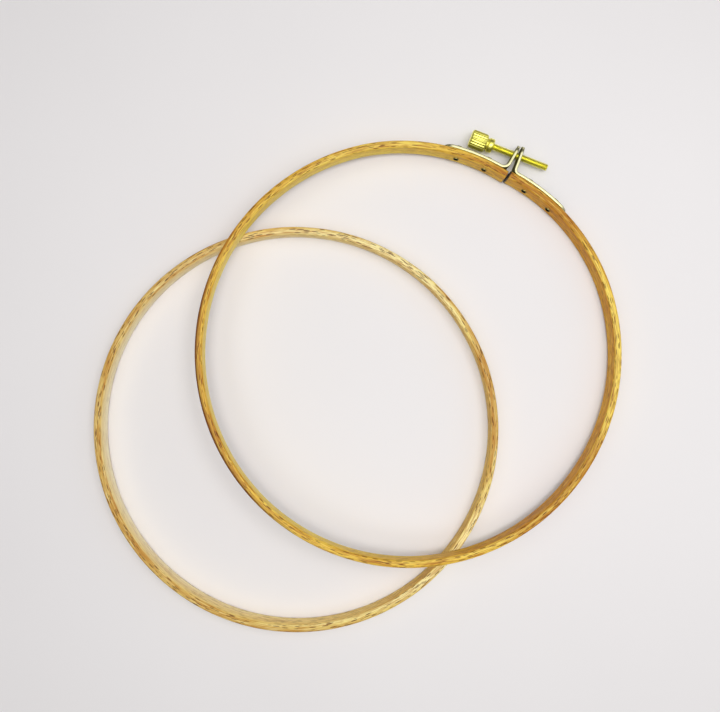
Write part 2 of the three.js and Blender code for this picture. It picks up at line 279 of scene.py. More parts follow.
def strip(
    place: Place,
    travel: np.ndarray,
    depth: np.ndarray,
    height: np.ndarray,
    section: Section,
    holes: list[Hole],
    closed: bool = False,
) -> Shell:
    """A section carried along a path, pierced by round holes, and capped where it isn't closed.

    The surface is a function of the travel along the path and of the place on the section. Round
    a hole, the cells of a window on either wall are left out. Each point of the window's loop is
    joined to the point of the circle in its own direction, and the two circles to each other.

    Args:
        place: Puts a travel, depth and height into space.
        travel: The travel of each column.
        depth: Depth of each grid point, as an array of (columns, rows).
        height: Height of each grid point, likewise.
        section: Says which rows lie on the two walls.
        holes: The holes to pierce.
        closed: Whether the last column joins the first.

    Returns:
        The closed surface in place, with its travel, depth and height as grain.
    """
    columns, rows = depth.shape
    own = np.stack([np.repeat(travel[:, None], rows, 1), depth, height], -1).reshape(-1, 3)
    cells = lattice(columns, rows, closed)
    kept = np.ones(cells.shape[:2], bool)
    quads, triangles, extra = [], [], []
    count = len(own)
    walls = (section.outer_rows(), section.inner_rows())
    for hole in holes:
        near = np.nonzero(np.abs(travel - hole.travel) <= hole.window)[0]
        i = np.arange(near[0], near[-1] + 1)
        middle = len(travel[i]) // 2
        level = height[i[middle], walls[0]]
        within = np.nonzero(np.abs(level - hole.height) <= hole.window)[0]
        rims = []
        for wall in walls:
            j = wall[within[0]: within[-1] + 1]
            kept[i[0]: i[-1], np.minimum(j[:-1], j[1:])] = False
            loop = np.concatenate([
                i[:-1] * rows + j[0],
                i[-1] * rows + j[:-1],
                i[:0:-1] * rows + j[-1],
                i[0] * rows + j[:0:-1],
            ])
            away = own[loop][:, [0, 2]] - [hole.travel, hole.height]
            away /= np.linalg.norm(away, axis=1)[:, None]
            rim = np.column_stack([
                hole.travel + away[:, 0] * hole.diameter / 2,
                own[loop][:, 1],
                hole.height + away[:, 1] * hole.diameter / 2,
            ])
            extra.append(rim)
            rims.append(np.arange(count, count + len(rim)))
            count += len(rim)
            quads.append(belt(loop, rims[-1]))
        quads.append(belt(rims[0], rims[1]))
    quads.insert(0, cells[kept])
    if not closed:
        for column in (0, columns - 1):
            loop = np.arange(rows) + column * rows
            extra.append(own[loop].mean(0)[None, :])
            triangles.append(fan(loop, count))
            count += 1
    own = np.concatenate([own, *extra])
    points = place(own[:, 0], own[:, 1], own[:, 2])
    return Shell(
        points,
        np.concatenate(quads),
        np.concatenate(triangles) if triangles else np.zeros((0, 3), int),
        np.column_stack([own, own[:, 2]]),
    )


def waviness(turn: np.ndarray, seed: int, size: float) -> np.ndarray:
    """A slow unevenness round a hoop: sines of 3 to 14 waves, with fixed random phases.

    The strength of each is a random share over its number of waves, and the sum of the strengths
    is brought to the size.

    Args:
        turn: Angle round the hoop in radians.
        seed: Picks the phases and strengths.
        size: Largest departure, in millimetres.

    Returns:
        The departure at each turn.
    """
    draw = np.random.default_rng(seed)
    waves = np.arange(3, 15)
    strength = draw.uniform(0.3, 1.0, len(waves)) / waves
    phase = draw.uniform(0.0, TURN, len(waves))
    total = np.sin(turn[..., None] * waves + phase) @ strength
    return size * total / strength.sum()


def bent_grain(turn: np.ndarray, own: np.ndarray, radius: float) -> np.ndarray:
    """Grain coordinates of a bent strip, the same everywhere along it and without a seam.

    The first two follow the turn round a circle of the hoop's own radius, so a step along the wood
    is a step of the same length there. The third is the depth and the fourth the height.

    Args:
        turn: Angle round the hoop of each point, in radians.
        own: Travel, depth and height of each point.
        radius: Radius of the hoop.

    Returns:
        An array of shape (n, 4), in millimetres.
    """
    return np.column_stack([radius * np.cos(turn), radius * np.sin(turn), own[:, 1], own[:, 2]])


def linear(colour: str) -> tuple[float, float, float, float]:
    """Turns an sRGB hex colour to linear light.

    A share up to 0.04045 is divided by 12.92. From a higher one, the share plus 0.055 is divided
    by 1.055 and raised to the power 2.4.

    Args:
        colour: The colour, such as "#d9a860".

    Returns:
        Red, green, blue and 1.
    """
    parts = np.array([int(colour[k: k + 2], 16) for k in (1, 3, 5)]) / 255.0
    straight = np.where(parts <= 0.04045, parts / 12.92, ((parts + 0.055) / 1.055) ** 2.4)
    return (*(float(x) for x in straight), 1.0)


def add_node(
    tree: bpy.types.NodeTree, kind: str, inputs: dict | None = None, output: str | int = 0, **settings: Any
) -> Any:
    """Adds one shader node with its settings and links.

    Args:
        tree: The node tree.
        kind: The node's type name, without the words ShaderNode in front.
        inputs: For each input, by name or number, a value or the output that feeds it.
        output: Which output to give back, by name or number.
        settings: The node's own settings.

    Returns:
        That output, or None from a node that has no outputs.
    """
    node = tree.nodes.new("ShaderNode" + kind)
    for name, value in settings.items():
        setattr(node, name, value)
    for key, value in (inputs or {}).items():
        if isinstance(value, bpy.types.NodeSocket):
            tree.links.new(value, node.inputs[key])
        else:
            node.inputs[key].default_value = value
    return node.outputs[output] if node.outputs else None


def direction(turn: float) -> Triple:
    """The cosine and sine of a turn in degrees, as a direction in the plane of a hoop's grain."""
    return (math.cos(math.radians(turn)), math.sin(math.radians(turn)), 0.0)


def new_material(name: str) -> tuple[bpy.types.Material, bpy.types.NodeTree]:
    """Makes a material with an empty node tree.

    Args:
        name: The material's name.

    Returns:
        The material and its tree.
    """
    made = bpy.data.materials.new(name)
    made.use_nodes = True
    made.node_tree.nodes.clear()
    return made, made.node_tree


def lay(
    tree: bpy.types.NodeTree, under: Any, over: Any, pattern: Any, start: float, full: float,
    share: float = 1.0, where: Any = None, blend: str = "MIX",
) -> Any:
    """Lays one colour over another where a pattern runs from a start value to a full one.

    The cover grows evenly from nothing at the start to its share at the full value, which may be
    the smaller one, and stays there beyond it.

    Args:
        tree: The node tree.
        under: The colour below, or the output that gives it.
        over: The colour above, or the output that gives it.
        pattern: The output that is read.
        start: The value where the cover begins.
        full: The value where it has its share.
        share: How much of the upper colour shows there, from 0 to 1.
        where: An output from 0 to 1 that the cover is multiplied by.
        blend: How the two colours are joined.

    Returns:
        The colour's output.
    """
    cover = add_node(tree, "MapRange", {0: pattern, 1: start, 2: full, 3: 0.0, 4: share})
    if where is not None:
        cover = add_node(tree, "Math", {0: cover, 1: where}, operation="MULTIPLY")
    return add_node(tree, "Mix", {0: cover, 6: under, 7: over}, 2, data_type="RGBA", blend_type=blend)


@dataclass(frozen=True)
class Beech:
    """Bent beech strip, sanded and sealed or varnished.

    Beech is a close, even, tan wood. Its rays show as short dark-brown dashes that run along the
    grain, and its growth layers as long soft streaks. A thin varnish deepens the brown. The end
    grain at a split drinks the varnish and darkens, and is painted nearly black as painted shade of
    the slit. The inner wall is painted pale, as painted light, on the side towards the light, where
    the top is deeper. The wall is painted tanner as painted shade across the hoop, and everywhere
    towards its top. The outer edge of the top may be painted dark brown as painted shade. One
    stretch may be darker.

    A pattern's cell has a length along the wood, a width across it and a height up its walls. The
    real fibres and rays are about half as wide, too fine for the render, and are drawn as wide as
    they need to be to show. The walls slant away from the eye, so cells are higher than wide.

    A cover holds the value where a colour begins to show, the one where it is full, and its share
    there. A span is a cover without its share.
    """

    name: str
    pale: str
    tan: str
    deep: str
    fleck: str
    # The inner wall's colours: painted lit, half lit, and in shade across the hoop.
    inside: str
    inside_half_lit: str
    inside_shaded: str
    roughness: float
    wall: float
    # The turn towards which the inner wall is painted lit.
    light_side: float
    top_drift: float
    light_mm: Triple = (-60.0, -13.0, 70.0)
    # The turn where the outer edge of the top is painted in shade, if anywhere.
    edge_shade_turn: float | None = None
    dark_turn: float | None = None
    # Whether the end grain at the split is stained and painted near black as painted shade.
    end_stain_and_shade: bool = False
    end_stain_and_shade_colour: str = "#120903"
    # The painted shade that the inner wall takes towards its top.
    wall_top_shade: str = "#fbedbe"
    tone_mm: Triple = (60.0, 4.0, 8.0)
    streak_mm: Triple = (11.0, 0.4, 1.2)
    fibre_mm: Triple = (3.4, 0.26, 0.65)
    ray_mm: Triple = (3.5, 0.37, 0.5)
    tan_cover: Triple = (0.32, 0.52, 1.0)
    deep_cover: Triple = (0.52, 0.72, 0.7)
    drift_span_mm: Pair = (-20.0, 60.0)
    dark_cover_mm: Triple = (72.0, 76.5, 0.6)
    wall_span_mm: Pair = (0.22, 0.02)
    wall_top_shade_span_mm: Pair = (1.5, 6.8)
    # How much the inner wall's painted light and shade cover the wood.
    wall_light_share: float = 0.9
    hidden_on_wall: Pair = (0.4, 0.8)
    hidden_outside_mm: Triple = (-0.4, -0.1, 0.4)
    pale_streaks: Triple = (0.46, 0.34, 0.65)
    deep_streaks: Triple = (0.5, 0.66, 0.8)
    fibre_cover: Triple = (0.48, 0.64, 0.58)
    ray_cover: Triple = (0.43, 0.35, 0.9)
    edge_shade_out_mm: Pair = (55.0, 70.0)
    edge_shade_up_mm: Pair = (6.0, 7.2)
    edge_shade_cover_mm: Triple = (-1.35, -0.4, 0.95)
    stain_and_shade_cover_mm: Triple = (0.75, 0.5, 0.97)
    relief_mm: float = 0.04
    gloss_span: Pair = (0.3, 0.7)
    gloss_change: Pair = (0.08, -0.06)

    def material(self) -> bpy.types.Material:
        """Builds the wood, with its pattern on the piece's own grain coordinates.

        Returns:
            The material.
        """
        made, tree = new_material(self.name)
        grain = add_node(tree, "Attribute", None, "Vector", attribute_name="grain")
        rise = add_node(tree, "Attribute", None, "Fac", attribute_name="rise")
        depth = add_node(tree, "SeparateXYZ", {0: grain}, "Z")

        def pattern(kind: str, cell_mm: Triple, output: str, inputs: dict, **settings: Any) -> Any:
            """Adds a texture whose cells have their own length, width and height.

            Args:
                kind: The texture's type name.
                cell_mm: A cell's length along the wood, width across it and height up its walls.
                output: Which output to give back.
                inputs: Its inputs besides the coordinates.
                settings: Its settings.

            Returns:
                That output.
            """
            along, across, high = (1.0 / size for size in cell_mm)
            scaled = add_node(tree, "VectorMath", {0: grain, 1: (along, along, across)}, operation="MULTIPLY")
            height = add_node(tree, "Math", {0: rise, 1: high}, operation="MULTIPLY")
            inputs = {"Vector": scaled, "W": height, "Scale": 1.0} | inputs
            return add_node(tree, kind, inputs, output, **settings)

        smooth, fine = {"Detail": 1.0, "Roughness": 0.55}, {"Detail": 2.0, "Roughness": 0.55}
        tone = pattern("TexNoise", self.tone_mm, "Fac", smooth, noise_dimensions="4D")
        streaks = pattern("TexNoise", self.streak_mm, "Fac", fine, noise_dimensions="4D")
        fibres = pattern("TexNoise", self.fibre_mm, "Fac", smooth, noise_dimensions="4D")
        rays = pattern("TexVoronoi", self.ray_mm, "Distance", {}, voronoi_dimensions="4D")
        pale, deep, dark = linear(self.pale), linear(self.deep), linear(self.fleck)

        # How far a point lies out towards each turn that matters, in millimetres.
        turns = {
            "toward_light": self.light_side, "edge_shade": self.edge_shade_turn, "dark": self.dark_turn,
            "split": 0.0 if self.end_stain_and_shade else None,
        }
        out = {}
        for which, turn in turns.items():
            if turn is not None:
                way = {0: grain, 1: direction(turn)}
                out[which] = add_node(tree, "VectorMath", way, "Value", operation="DOT_PRODUCT")

        # The wood's own colour, from pale to deep by its slow changes of tone.
        body = lay(tree, pale, linear(self.tan), tone, *self.tan_cover)
        body = lay(tree, body, deep, tone, *self.deep_cover)
        body = lay(tree, body, deep, out["toward_light"], *self.drift_span_mm, self.top_drift)
        if self.dark_turn is not None:
            body = lay(tree, body, deep, out["dark"], *self.dark_cover_mm)

        # Painted light and shade on the inner wall: palest on the side towards the light, painted in shade
        # across the hoop and towards its top.
        least, between, most = self.light_mm
        start, full = (edge - self.wall for edge in self.wall_span_mm)
        far, middle, near = linear(self.inside_shaded), linear(self.inside_half_lit), linear(self.inside)
        lit_wall = lay(tree, far, middle, out["toward_light"], least, between)
        lit_wall = lay(tree, lit_wall, near, out["toward_light"], between, most)
        # Painted shade towards the top of the wall.
        lit_wall = lay(tree, lit_wall, linear(self.wall_top_shade), rise, *self.wall_top_shade_span_mm, blend="MULTIPLY")
        body = lay(tree, body, lit_wall, depth, start, full, self.wall_light_share)

        # Streaks, fibres and rays, fainter on the inner wall, most on its painted lit side, and on the outer
        # face.
        on_wall = add_node(tree, "MapRange", {0: depth, 1: start, 2: full, 3: 0.0, 4: 1.0})
        dim, dimmest = self.hidden_on_wall
        faint = add_node(tree, "MapRange", {0: out["toward_light"], 1: least, 2: most, 3: dim, 4: dimmest})
        start, full, share = self.hidden_outside_mm
        outside = add_node(tree, "MapRange", {0: depth, 1: start, 2: full, 3: 0.0, 4: share})
        hidden = add_node(tree, "Math", {0: on_wall, 1: faint, 2: outside}, operation="MULTIPLY_ADD")
        shown = add_node(tree, "Math", {0: 1.0, 1: hidden}, operation="SUBTRACT")
        colour = lay(tree, body, pale, streaks, *self.pale_streaks, shown)
        colour = lay(tree, colour, deep, streaks, *self.deep_streaks, shown)
        colour = lay(tree, colour, deep, fibres, *self.fibre_cover, shown)
        colour = lay(tree, colour, dark, rays, *self.ray_cover, shown)

        # Painted shade on the outer edge of the top, and the end grain, stained and painted in shade at the
        # split.
        if self.edge_shade_turn is not None:
            start, full = self.edge_shade_out_mm
            stretch = add_node(tree, "MapRange", {0: out["edge_shade"], 1: start, 2: full, 3: 0.0, 4: 1.0})
            start, full = self.edge_shade_up_mm
            by_top = add_node(tree, "MapRange", {0: rise, 1: start, 2: full, 3: 0.0, 4: 1.0})
            edge = add_node(tree, "Math", {0: stretch, 1: by_top}, operation="MULTIPLY")
            colour = lay(tree, colour, dark, depth, *self.edge_shade_cover_mm, edge)
        # The stained end grain, painted near black as painted shade of the narrow slit.
        if self.end_stain_and_shade:
            across = add_node(tree, "SeparateXYZ", {0: grain}, "Y")
            from_split = add_node(tree, "Math", {0: across}, operation="ABSOLUTE")
            at_split = add_node(tree, "Math", {0: out["split"], 1: 0.0}, operation="GREATER_THAN")
            colour = lay(tree, colour, linear(self.end_stain_and_shade_colour), from_split, *self.stain_and_shade_cover_mm, at_split)

        relief = add_node(tree, "Math", {0: fibres, 1: 0.5, 2: rays}, operation="MULTIPLY_ADD")
        size = self.relief_mm * METRES
        bump = add_node(tree, "Bump", {"Strength": 0.4, "Distance": size, "Height": relief})
        low, high = self.gloss_span
        rough, glossy = (self.roughness + change for change in self.gloss_change)
        gloss = add_node(tree, "MapRange", {0: streaks, 1: low, 2: high, 3: rough, 4: glossy})
        shader = add_node(tree, "BsdfPrincipled", {
            "Base Color": colour, "Roughness": gloss, "IOR": 1.5, "Specular IOR Level": 0.25, "Normal": bump,
        })
        add_node(tree, "OutputMaterial", {"Surface": shader})
        return made


@dataclass(frozen=True)
class BrightMetal:
    """Brass, either turned from the bar or plated on steel strip.

    Fresh brass is a greenish lemon yellow. Drawing or turning leaves fine lines that blur its
    reflections along them, and handling leaves faint darker patches. Where a piece's rise is under
    the shade level it is painted a dark olive brown, as painted shade: in the roots of a thread,
    between the ridges of a head, on the floor of a neck and in the tube of a rivet, and, as painted
    shade and dark reflection, on the faces and round ends of a strip, while its edges keep their colour.
    The lines are some ten times as wide as real ones, which are too fine for the render.
    """

    name: str
    colour: str
    tarnish: str
    roughness: float
    line_mm: Triple
    # Below this rise, fading over the span above it, the metal is painted in shade.
    painted_shade_below_mm: float
    painted_shade: str
    painted_shade_over_mm: float
    line_depth_mm: float = 0.002
    patch_mm: float = 3.8
    tarnish_cover: Triple = (0.5, 0.8, 0.5)
    gloss_span: Pair = (0.35, 0.7)
    gloss_change: Pair = (-0.03, 0.08)
    painted_shade_matt: float = 0.25

    def material(self) -> bpy.types.Material:
        """Builds the metal, with its lines on the piece's own coordinates.

        Returns:
            The material.
        """
        made, tree = new_material(self.name)
        own = add_node(tree, "Attribute", None, "Vector", attribute_name="grain")
        rise = add_node(tree, "Attribute", None, "Fac", attribute_name="rise")
        place = add_node(tree, "TexCoord", None, "Object")
        scale = tuple(1.0 / x for x in self.line_mm)
        drawn = add_node(tree, "VectorMath", {0: own, 1: scale}, operation="MULTIPLY")
        lines = add_node(tree, "TexNoise", {"Vector": drawn, "Scale": 1.0, "Detail": 1.0}, "Fac")
        size = 1.0 / (self.patch_mm * METRES)
        patches = add_node(tree, "TexNoise", {"Vector": place, "Scale": size, "Detail": 2.0}, "Fac")
        start, full = self.painted_shade_below_mm + self.painted_shade_over_mm, self.painted_shade_below_mm
        colour = lay(tree, linear(self.colour), linear(self.tarnish), patches, *self.tarnish_cover)
        # Painted shade: a dark colour and a rougher surface where the rise is low.
        colour = lay(tree, colour, linear(self.painted_shade), rise, start, full)
        low, high = self.gloss_span
        glossy, rough = (self.roughness + change for change in self.gloss_change)
        gloss = add_node(tree, "MapRange", {0: patches, 1: low, 2: high, 3: glossy, 4: rough})
        matt = add_node(tree, "MapRange", {0: rise, 1: start, 2: full, 3: 0.0, 4: self.painted_shade_matt})
        gloss = add_node(tree, "Math", {0: gloss, 1: matt}, operation="ADD")
        depth = self.line_depth_mm * METRES
        bump = add_node(tree, "Bump", {"Strength": 0.3, "Distance": depth, "Height": lines})
        shader = add_node(tree, "BsdfPrincipled", {
            "Base Color": colour, "Metallic": 1.0, "Roughness": gloss, "Normal": bump,
        })
        add_node(tree, "OutputMaterial", {"Surface": shader})
        return made


@dataclass(frozen=True)
class PaintedBoard:
    """A board in matt paint.

    Matt paint is even and gives back no reflections, only a broad sheen. A very faint mottle of two
    pale tones keeps it from looking like paper.
    """

    name: str
    light: str
    shade: str
    mottle_mm: float
    mottle_span: Pair = (0.3, 0.7)
    roughness: float = 0.85

    def material(self) -> bpy.types.Material:
        """Builds the paint, with its mottle on the board's own coordinates.

        Returns:
            The material.
        """
        made, tree = new_material(self.name)
        place = add_node(tree, "TexCoord", None, "Object")
        size = 1.0 / (self.mottle_mm * METRES)
        mottle = add_node(tree, "TexNoise", {"Vector": place, "Scale": size, "Detail": 2.0}, "Fac")
        colour = lay(tree, linear(self.shade), linear(self.light), mottle, *self.mottle_span)
        shader = add_node(tree, "BsdfPrincipled", {
            "Base Color": colour, "Roughness": self.roughness, "IOR": 1.45, "Specular IOR Level": 0.25,
        })
        add_node(tree, "OutputMaterial", {"Surface": shader})
        return made


@dataclass(frozen=True)
class Lie:
    """How the two hoops lie: the outer one leans from the table to the top of the inner one."""

    inner_diameter: float = 152.4
    outer_diameter: float = 156.6
    outer_wall: float = 2.7
    height: float = 7.6
    edge_radius: float = 0.8
    rest_gap: float = 0.1
    centre_distance: float = 51.8
    centre_direction: float = 34.6
    split_direction: float = 61.2

    def inner_centre(self) -> np.ndarray:
        """The foot of the inner hoop's axis, in the middle of its solid's box in the frame."""
        low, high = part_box("inner_hoop")
        return np.array([(low.x + high.x) / 2, (low.y + high.y) / 2, 0.0]) / METRES

    def lean(self) -> float:
        """How far the outer hoop leans.

        Its sine is the rise over the reach between the two contacts. One is the rim on the table.
        The other lies over the line where the bore of the outer hoop crosses the outer face of the
        inner one, which follows from both radii and the distance of the centres.

        Returns:
            The lean in radians.
        """
        inner, outer = self.inner_diameter / 2, self.outer_diameter / 2
        bore = outer - self.outer_wall
        contact = (self.centre_distance**2 + bore**2 - inner**2) / (2 * self.centre_distance)
        return math.asin((self.height + self.rest_gap) / (outer - self.edge_radius + contact))

    def outer_matrix(self) -> Matrix:
        """The outer hoop's own plane, in which the split lies on +Y.

        It is turned about its axis, tipped by the lean, turned to the direction of the centres and
        moved to its foot. The foot rises by the sine of the lean times the reach to the rounded
        rim, plus the rim's radius times one less the cosine, so that the rim lies on the table.

        Returns:
            The matrix that carries that plane into the frame, in millimetres.
        """
        lean, outer = self.lean(), self.outer_diameter / 2
        rise = (outer - self.edge_radius) * math.sin(lean) + self.edge_radius * (1 - math.cos(lean))
        away = math.radians(self.centre_direction)
        foot = self.inner_centre() + self.centre_distance * np.array(direction(self.centre_direction))
        foot[2] = rise
        spin = math.radians(self.split_direction - self.centre_direction - 90.0)
        turns = Matrix.Rotation(away, 4, "Z") @ Matrix.Rotation(lean, 4, "Y") @ Matrix.Rotation(spin, 4, "Z")
        return Matrix.Translation(Vector(foot)) @ turns


def moved(points: np.ndarray, matrix: Matrix) -> np.ndarray:
    """Carries points by a matrix: it turns each one and then shifts it.

    Args:
        points: Points as an array of shape (n, 3).
        matrix: The matrix.

    Returns:
        The moved points.
    """
    m = np.array(matrix)
    return points @ m[:3, :3].T + m[:3, 3]


@dataclass
class InnerHoop:
    """The plain hoop: one strip of beech, scarfed and glued into a ring."""

    lie: Lie
    wall: float = 2.9
    steps: int = 720
    unevenness: float = 0.05
    thickness_seed: int = 5
    height_seed: int = 8
    scarf_direction: float = 98.0
    scarf_length: float = 30.0
    scarf_step: float = 0.07
    scarf_fade: float = 3.0
    scarf_sharpness: float = 14.0

    def build(self, finish: bpy.types.Material) -> bpy.types.Object:
        """Builds the ring.

        A point of the rounded section (depth, height) at the turn a goes to the radius R + depth
        in the direction a. The thickness and the height waver a little. At the glued scarf one end
        of the strip stands a few hundredths proud of the other: the step is a hyperbolic tangent
        across a slanting line, times a bell curve along the wood.

        Args:
            finish: The wood.

        Returns:
            The piece.
        """
        radius = self.lie.inner_diameter / 2
        section = Section(-self.wall, 0.0, self.lie.height, self.lie.edge_radius)
        outline = section.outline()
        travel = np.linspace(0.0, TURN * radius, self.steps, endpoint=False)
        turn = travel / radius
        depth = np.repeat(outline[None, :, 0], self.steps, 0)
        height = np.repeat(outline[None, :, 1], self.steps, 0)
        inward = -depth / self.wall
        depth = depth - inward * waviness(turn, self.thickness_seed, self.unevenness)[:, None]
        height = height * (1.0 + waviness(turn, self.height_seed, self.unevenness)[:, None] / self.lie.height)
        past = (turn - math.radians(self.scarf_direction) + math.pi) % TURN - math.pi
        past = past[:, None] * radius / self.scarf_length
        inside = np.exp(-(past**2) * self.scarf_fade)
        step = np.tanh((past - inward + 0.5) * self.scarf_sharpness)
        depth = depth + self.scarf_step * inside * step * (0.5 - inward)
        centre = self.lie.inner_centre()

        def place(along: np.ndarray, deep: np.ndarray, high: np.ndarray) -> np.ndarray:
            """Puts a travel, a depth and a height on the ring.

            Args:
                along: Travel round the outer face.
                deep: Depth from it.
                high: Height.

            Returns:
                The points in the frame, in millimetres.
            """
            angle = along / radius
            reach = radius + deep
            return np.stack([reach * np.cos(angle), reach * np.sin(angle), high], -1) + centre

        shell = strip(place, travel, depth, height, section, [], closed=True)
        shell.grain = bent_grain(shell.grain[:, 0] / radius, shell.grain, radius)
        piece = shell.piece("inner_hoop_wood", finish)
        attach(piece, "inner")
        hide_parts("inner_hoop")
        return piece


@dataclass
class OuterHoop:
    """The split hoop: one strip of beech whose ends have set a little inwards.

    A turn is an angle from the split, clockwise, so the right end has the small positive turns. The
    split is drawn 0.24 mm narrower than the solid's and a little to its left, as the thin slit that
    a hoop with touching ends shows.
    """

    lie: Lie
    split_gap: float = 0.46
    split_shift: float = -0.22
    split_chamfer: float = 0.12
    chamfer_travel: Pair = (0.0, 0.4)
    chamfer_inset: Pair = (1.0, 0.45)
    left_pull_in: float = 2.07
    right_pull_in: float = 1.57
    pull_reach: float = 43.0
    pull_power: float = 1.5
    bend_zone: float = 50.0
    blend_inset: float = 0.998
    unevenness: float = 0.05
    thickness_seed: int = 21
    height_seed: int = 34
    fine_step: float = 0.34
    coarse_step: float = 0.72
    fine_reach: float = 30.0

    @property
    def radius(self) -> float:
        """Radius of the outer face away from the split."""
        return self.lie.outer_diameter / 2

    def face(self, turn: np.ndarray) -> np.ndarray:
        """Radius of the outer face: the circle, less a pull that grows towards each end.

        The pull is its full size times a power of one less the turn's share of the pull's reach.

        Args:
            turn: Turns in radians.

        Returns:
            The radius at each.
        """
        pull = np.where(turn < 0, self.left_pull_in, self.right_pull_in)
        near = np.clip(1.0 - np.abs(turn) / math.radians(self.pull_reach), 0.0, None)
        return self.radius - pull * near**self.pull_power

    def place(self, travel: np.ndarray, depth: np.ndarray, height: np.ndarray) -> np.ndarray:
        """Puts points of the hoop into the frame.

        The turn is the travel over the hoop's radius. A point lies at that turn from +Y, at the
        radius of the outer face plus its depth.

        Args:
            travel: Travel along the outer face.
            depth: Depth from it.
            height: Height in the hoop's own plane.

        Returns:
            The points, in millimetres.
        """
        turn = travel / self.radius
        reach = self.face(turn) + depth
        plane = np.stack([reach * np.sin(turn), reach * np.cos(turn), height], -1)
        return moved(plane, self.lie.outer_matrix())

    def stops(self, start: float, end: float) -> np.ndarray:
        """Travels from one to another, close together near the split and wider beyond.

        Args:
            start: The first.
            end: The last.

        Returns:
            The travels.
        """
        edge = self.fine_reach
        if end > edge > start:
            fine = np.linspace(start, edge, round((edge - start) / self.fine_step) + 1)
            wide = np.linspace(edge, end, round((end - edge) / self.coarse_step) + 1)
            return np.concatenate([fine, wide[1:]])
        return np.linspace(start, end, round((end - start) / self.coarse_step) + 1)

    def arc(self, travel: np.ndarray, inset: np.ndarray, holes: list[Hole]) -> Shell:
        """One stretch of the hoop as a closed surface.

        The rounded section goes along the travel, and its thickness and height waver a little.

        Args:
            travel: Travel of each column.
            inset: How far the section is drawn in at each column.
            holes: Rivet holes.

        Returns:
            The surface.
        """
        section = Section(-self.lie.outer_wall, 0.0, self.lie.height, self.lie.edge_radius)
        outlines = np.stack([section.outline(x) for x in inset])
        depth, height = outlines[..., 0], outlines[..., 1]
        turn = travel / self.radius
        inward = -depth / self.lie.outer_wall
        depth = depth - inward * waviness(turn, self.thickness_seed, self.unevenness)[:, None]
        high = height / self.lie.height
        height = height + high * waviness(turn, self.height_seed, self.unevenness)[:, None]
        shell = strip(self.place, travel, depth, height, section, holes)
        shell.grain = bent_grain(shell.grain[:, 0] / self.radius, shell.grain, self.radius)
        return shell

    def build(self, finish: bpy.types.Material, holes: dict[Side, list[Hole]]) -> list[bpy.types.Object]:
        """Builds the wood in three stretches that meet face to face.

        The right stretch moves with the right end and the left one with the left end. The far
        stretch is put in place and rides on no body.

        Args:
            finish: The wood.
            holes: The rivet holes of each side.

        Returns:
            The three pieces.
        """
        half = math.pi * self.radius
        cut = half - math.radians(self.bend_zone) * self.radius
        pieces = []
        for side, body in ((Side.RIGHT, "outer"), (Side.LEFT, "left_end")):
            start = self.split_gap / 2 + side.value * self.split_shift
            run = self.stops(start + self.split_chamfer, cut)
            chamfer = start + self.split_chamfer * np.array(self.chamfer_travel)
            inset = np.concatenate([self.split_chamfer * np.array(self.chamfer_inset), np.zeros(len(run))])
            shell = self.arc(side.value * np.concatenate([chamfer, run]), inset, holes[side])
            piece = shell.piece(f"outer_hoop_wood_{side.name.lower()}", finish)
            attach(piece, body)
            pieces.append(piece)
        travel = self.stops(cut, 2 * half - cut)
        far = self.arc(travel, np.zeros(len(travel)), []).piece("outer_hoop_wood_far", finish)
        zone = self.blend_inset * (self.radius - self.lie.outer_wall) * math.sin(math.radians(self.bend_zone))
        ends = np.array([[zone, -self.radius, 0.0], [-zone, -self.radius, 0.0]])
        ends = moved(ends, self.lie.outer_matrix())
        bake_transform(far)
        pieces.append(far)
        for piece in pieces:
            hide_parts("outer_hoop")
        return pieces


